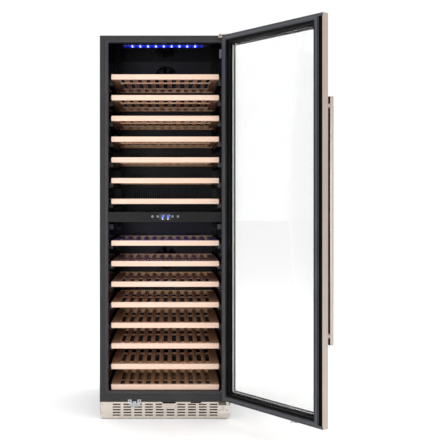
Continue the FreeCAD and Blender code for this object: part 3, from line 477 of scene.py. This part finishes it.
def rod(shape, start, end, radius, material=0, sides=20):
    """A round bar between two points."""
    start, end = Vector(start), Vector(end)
    way = end - start
    place = Matrix.Translation((start + end) / 2) @ way.to_track_quat("Z", "Y").to_matrix().to_4x4()
    made = bmesh.ops.create_cone(shape, cap_ends=True, segments=sides, radius1=radius, radius2=radius,
                                 depth=way.length, matrix=place)["verts"]
    for face in {face for corner in made for face in corner.link_faces}:
        face.material_index = material


# ------------------------------------------------------------------ shelves
def slat(shape, middle, near, far, low):
    """One slat with square shoulders and a crowned top, which cradles the bottles."""
    foot, spring = SLAT_HALF - SLAT_SHOULDER, BOARD_TALL - SLAT_CROWN
    section = [(-foot, 0.0), (foot, 0.0), (SLAT_HALF, SLAT_SHOULDER)]
    for step in range(11):
        angle = math.pi * step / 10
        section.append((SLAT_HALF * math.cos(angle), spring + SLAT_CROWN * math.sin(angle)))
    section.append((-SLAT_HALF, SLAT_SHOULDER))
    ends = [[shape.verts.new((middle + x, deep, low + z)) for x, z in section] for deep in (near, far)]
    faces = [shape.faces.new(ends[0]), shape.faces.new(ends[1])]
    for place in range(len(section)):
        following = (place + 1) % len(section)
        side = (ends[0][place], ends[0][following], ends[1][following], ends[1][place])
        faces.append(shape.faces.new(side))
    for face in faces:
        face.material_index = 1


def shelf(name):
    low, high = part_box(name)
    base, tall = low.z / MM, (high.z - low.z) / MM
    near, back = low.y / MM, high.y / MM
    front, far = near + STRIP_DEEP, back - STRIP_DEEP
    depth = back - near
    bars = FULL_BARS if depth > SHORTEST_FULL else SHORT_BARS
    board = base + BOARD_LOW

    def build(shape):
        # both strips stand from the underside to the top, with their edges softened
        box(shape, (-STRIP_HALF, near, base), (STRIP_HALF, front, base + tall), 0, 0.9)
        for side in (-1, 1):
            inner, outer = sorted((side * BOARD_IN, side * BOARD_OUT))
            box(shape, (inner, front, board), (outer, far, board + BOARD_TALL), 1, 1.2)
        for number in range(SLATS):
            slat(shape, (number - (SLATS - 1) / 2) * SLAT_PITCH, front, far, board)
        for share in bars:
            place = near + share * depth
            box(shape, (-BAR_REACH, place - BAR_HALF, base + BAR_LOW), (BAR_REACH, place + BAR_HALF, board),
                2, 1.0, runs("X"))
        # the back strip takes the brighter beech, which is painted light
        box(shape, (-BACK_STRIP_HALF, far, base), (BACK_STRIP_HALF, back, base + tall), 3, 2.0)

    piece("wood_" + name, build, [STRIP, SLAT, BAR, PAINTED_LIGHT_BACK_STRIP], name, [name])


for name in SHELVES:
    shelf(name)


# ------------------------------------------------------------------ front frame and door seal
def front_frame(shape):
    outside = (-297.5, 80.0, 297.5, 1751.0)
    line = (-276.5, 113.5, 276.5, 1729.0)
    lip = (-269.0, 118.5, 269.0, 1730.0)
    inside = (-259.0, 128.5, 259.0, 1720.0)
    face, rear = -315.0, -285.0
    loops = [
        (outside, 0.6, rear), (outside, 0.6, face + 2.0), (shrink(outside, 0.6), 1.0, face + 0.6),
        (shrink(outside, 2.0), 1.6, face),
        (line, 1.0, face), (line, 1.0, face + 1.5), (shrink(line, 1.6), 1.0, face + 1.5),
        (shrink(line, 1.6), 1.0, face + 0.1), (lip, 4.0, face + 0.1), (shrink(lip, 0.8), 4.0, face + 0.6),
        (shrink(inside, -3.0), 11.0, face + 0.7), (shrink(inside, -0.9), 10.0, face + 1.4),
        (inside, 9.5, face + 3.6), (inside, 9.5, rear),
    ]
    materials = [0, 0, 0, 0, 2, 2, 2, 1, 1, 1, 1, 1, 1, 0]
    hoop(shape, loops, materials=materials)


piece("front_frame_moulding", front_frame, [FRAME, STEP, BLACK], "cabinet", ["front_frame"])


def seal(shape):
    """The seal's base, its folded bellows and the magnet bead that meets the cabinet."""
    face = door_inset(SEAL_INSET)
    # each step of the section: its inset, its corner radius and its height over the door's back
    outer_side = [(0.0, 1.0, 0.0), (0.0, 1.0, 3.2), (0.8, 1.0, 4.0), (3.6, 1.5, 4.2), (3.0, 1.5, 6.8),
                  (1.2, 2.0, 7.6), (1.0, 2.5, 10.2), (2.4, 3.0, 11.5), (4.0, 3.0, 11.7)]
    inner_side = [(12.0, 3.0, 11.7), (16.6, 3.0, 11.7), (18.0, 3.0, 10.4), (18.0, 3.0, 7.9),
                  (16.0, 2.0, 7.0), (15.6, 2.0, 4.2), (18.4, 1.0, 3.8), (19.0, 1.0, 0.0)]
    section = outer_side + inner_side
    loops = [(shrink(face, inset), radius, DOOR_BACK + rise) for inset, radius, rise in section]
    # the part of the fold nearest the glass, and its inner side, take the black lining material: painted
    # shade on that side of the seal
    hoop(shape, loops, materials=[0] * len(outer_side) + [1] * len(inner_side), steps=4)

    # a flat flange covers the door's edge at its hinge side, top and bottom
    left, bottom, right, top = shrink(DOOR, 0.5)
    foot, side, head = face[1:]
    hinge_side = ((side + 0.2, bottom), (right, top))
    over_top = ((left, head + 0.2), (side, top))
    under_foot = ((left, bottom), (side, foot - 0.2))
    for low, high in (hinge_side, over_top, under_foot):
        box(shape, (low[0], DOOR_BACK + 0.05, low[1]), (high[0], DOOR_BACK + 0.4, high[1]))


piece("door_seal", seal, [SEAL, LINER_DOOR], "door", ["gasket"], turned=True)


def spacer(shape):
    """The bar between the panes, with black sealant and a black printed border along the front pane."""
    outer, inner = door_inset(SPACER_OUT), door_inset(SPACER_IN)
    bar = [(outer, 1.0, SPACER_FAR), (outer, 1.0, SPACER_NEAR), (inner, 2.0, SPACER_NEAR),
           (inner, 2.0, SPACER_SEALANT), (inner, 2.0, SPACER_FAR)]
    hoop(shape, bar, materials=[1, 1, 0, 1, 1], steps=3)
    printed = SPACER_FAR - 0.05
    border = [(door_inset(SPACER_IN - 0.1), 1.0, printed), (door_inset(BORDER_IN), 2.0, printed)]
    hoop(shape, border, closed=False, materials=[1], steps=3)


piece("glass_spacer_bar", spacer, [SPACER, LINER_DOOR], "door", ["glass_spacer"], turned=True)


def grip_painted_dark_reflection(shape):
    """A thin black strip along the handle, on the side that faces the door, parted by the two posts: painted
    shade and a painted reflection of the dark door front.
    """
    rows = []
    for step in range(9):
        angle = math.radians(GRIP_SHADE_ARC[0] + (GRIP_SHADE_ARC[1] - GRIP_SHADE_ARC[0]) * step / 8)
        rows.append((GRIP[0] + GRIP_RADIUS * math.cos(angle), GRIP[1] + GRIP_RADIUS * math.sin(angle)))
    for low, high in GRIP_SHADE_RUNS:
        ends = [[shape.verts.new((x, y, level)) for x, y in rows] for level in (low, high)]
        for place in range(8):
            shape.faces.new((ends[0][place], ends[0][place + 1], ends[1][place + 1], ends[1][place]))


# painted shade and reflection: a black strip on the handle's side that faces the door
piece("grip_painted_dark_reflection", grip_painted_dark_reflection, [BLACK], "door", turned=True, smooth=True)


# ------------------------------------------------------------------ controls
SEGMENTS = {"1": "bc", "2": "abged"}


def digit(shape, left, low, text, wide, tall, thick, lean, face):
    """One seven-segment figure, leaning to the right."""
    half = tall / 2
    bars = {
        "a": ((0, tall), (wide, tall)), "g": ((0, half), (wide, half)), "d": ((0, 0), (wide, 0)),
        "f": ((0, half), (0, tall)), "b": ((wide, half), (wide, tall)),
        "e": ((0, 0), (0, half)), "c": ((wide, 0), (wide, half)),
    }
    for letter in SEGMENTS[text]:
        (x0, z0), (x1, z1) = bars[letter]
        flat = z0 == z1
        tip, shoulder, side = thick * 0.62, thick * 0.62 * 1.6, thick / 2
        if flat:
            ends = [(x0 + tip, z0), (x0 + shoulder, z0 + side), (x1 - shoulder, z0 + side),
                    (x1 - tip, z0), (x1 - shoulder, z0 - side), (x0 + shoulder, z0 - side)]
        else:
            ends = [(x0, z0 + tip), (x0 - side, z0 + shoulder), (x0 - side, z1 - shoulder),
                    (x0, z1 - tip), (x0 + side, z1 - shoulder), (x0 + side, z0 + shoulder)]
        corners = [shape.verts.new((left + x + lean * z, face, low + z)) for x, z in ends]
        shape.faces.new(corners)


def display(shape):
    """Two temperatures of two figures each, one for each room."""
    for start in FIGURE_STARTS:
        for place, text in enumerate("12"):
            digit(shape, start + place * FIGURE_PITCH, FIGURE_LOW, text, wide=5.8, tall=13.0, thick=2.1,
                  lean=0.12, face=PANEL_FACE - 0.15)


def indicator(shape):
    for across in (-11.0, 13.0):
        rod(shape, (across, PANEL_FACE - 0.35, 913.6), (across, PANEL_FACE, 913.6), 1.4, sides=12)


piece("display_figures", display, [DIGIT], "cabinet")
piece("display_lamps", indicator, [DOT], "cabinet")


def ring_mark(shape, across, level, face, outer, inner, start=0.0, end=360.0, steps=28):
    """A flat arc printed on a face."""
    rows = []
    for step in range(steps + 1):
        angle = math.radians(start + (end - start) * step / steps)
        way_across, way_up = math.cos(angle), math.sin(angle)
        rows.append([shape.verts.new((across + reach * way_across, face, level + reach * way_up))
                     for reach in (inner, outer)])
    for near, far in zip(rows, rows[1:]):
        shape.faces.new((near[0], near[1], far[1], far[0]))


def outline_square(shape, across, level, face):
    outer = (across - 4.3, level - 4.3, across + 4.3, level + 4.3)
    hoop(shape, [(outer, 1.2, face), (shrink(outer, 1.0), 0.9, face)], closed=False, steps=3)


def mark(name):
    low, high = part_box(name)
    across = (low.x + high.x) / 2 / MM
    level = (low.z + high.z) / 2 / MM
    face = low.y / MM - 0.05

    def build(shape):
        outline_square(shape, across, level, face)
        if name == "button_power":
            ring_mark(shape, across, level, face, 2.3, 1.6, 120, 420)
            box(shape, (across - 0.35, face - 0.02, level), (across + 0.35, face, level + 2.6))
        elif name == "button_light":
            ring_mark(shape, across, level + 0.4, face, 1.9, 1.2)
            box(shape, (across - 0.8, face - 0.02, level - 2.6), (across + 0.8, face, level - 1.9))
        else:
            up = 1 if name == "button_up" else -1
            shape.faces.new([shape.verts.new((across + x, face, level + up * z))
                             for x, z in ((-2.2, -1.2), (2.2, -1.2), (0.0, 1.8))])

    piece("mark_" + name, build, [MARK], name)


for name in BUTTONS:
    mark(name)


# ------------------------------------------------------------------ lamps in the ceiling
def lamps(shape):
    """Nine lamp domes under each light strip; the lower row sits further back."""
    low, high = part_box("led_bars")
    upper = (high.z / MM - 2.2, low.y / MM + 16.0)
    lower = (low.z / MM, low.y / MM + 36.0)
    flat = Matrix.Diagonal((1.0, 1.0, 0.4, 1.0))
    for ceiling, deep in (upper, lower):
        for number in range(LAMPS):
            place = Matrix.Translation((LAMP_START + LAMP_PITCH * number, deep, ceiling)) @ flat
            bmesh.ops.create_uvsphere(shape, u_segments=14, v_segments=8, radius=LAMP_RADIUS, matrix=place)


piece("light_strip_lamps", lamps, [LED], "cabinet", smooth=True)

# ------------------------------------------------------------------ floor, light and camera
floor_shape = bmesh.new()
bmesh.ops.create_grid(floor_shape, x_segments=8, y_segments=8, size=30.0)
floor_data = bpy.data.meshes.new("studio_floor")
floor_shape.to_mesh(floor_data)
floor_shape.free()
floor_made, floor_tree, floor_shader = new_material("pale_studio_floor", {"Roughness": 0.85})
floor_tree.links.new(ramp(floor_tree, noise(floor_tree, 700.0), [(0.3, "#fcfcfb"), (0.7, "#ffffff")]),
                     floor_shader.inputs["Base Color"])
floor_data.materials.append(floor_made)
floor = bpy.data.objects.new("studio_floor", floor_data)
floor.location.z = -0.0005
bpy.context.scene.collection.objects.link(floor)


def soft_light(name, place, towards, wide, tall, power, colour=(1.0, 1.0, 1.0)):
    lamp = bpy.data.lights.new(name, "AREA")
    lamp.shape = "RECTANGLE"
    lamp.size, lamp.size_y = wide, tall
    lamp.energy = power
    lamp.color = colour
    made = bpy.data.objects.new(name, lamp)
    made.location = place
    made.rotation_euler = (Vector(towards) - Vector(place)).to_track_quat("-Z", "Y").to_euler()
    bpy.context.scene.collection.objects.link(made)


soft_light("key_light", (-1.0, -4.3, 0.95), (0.0, 0.0, 0.7), 1.0, 0.9, 29)
soft_light("overhead_light", (0.3, -0.6, 4.8), (0.3, -0.6, 0.0), 6.0, 6.0, 110)
soft_light("fill_light", (2.8, -4.2, 0.9), (0.2, 0.0, 0.5), 2.0, 1.8, 14)
soft_light("lower_strip_glow", (0.0, -0.2, 0.893), (0.0, -0.15, 0.5), 0.36, 0.03, 0.45, (0.05, 0.1, 1.0))
soft_light("upper_strip_glow", (0.0, -0.2, 1.71), (0.0, -0.15, 1.3), 0.36, 0.03, 0.25, (0.05, 0.1, 1.0))

world = bpy.data.worlds.new("white_studio")
world.use_nodes = True
world.node_tree.nodes["Background"].inputs["Color"].default_value = (1.0, 1.0, 1.0, 1.0)
world.node_tree.nodes["Background"].inputs["Strength"].default_value = 1.03
bpy.context.scene.world = world
bpy.context.scene.view_settings.view_transform = "Standard"
bpy.context.scene.view_settings.look = "None"

view = bpy.data.cameras.new("studio_camera")
view.sensor_width = 36.0
view.lens = 66.6
view.shift_x = 0.1015
view.shift_y = -0.0538
view.clip_end = 60.0
camera = bpy.data.objects.new("studio_camera", view)
camera.location = (0.047, -4.0247, 1.0177)
camera.rotation_euler = (math.pi / 2, 0.0, 0.0)
bpy.context.scene.collection.objects.link(camera)
bpy.context.scene.camera = camera
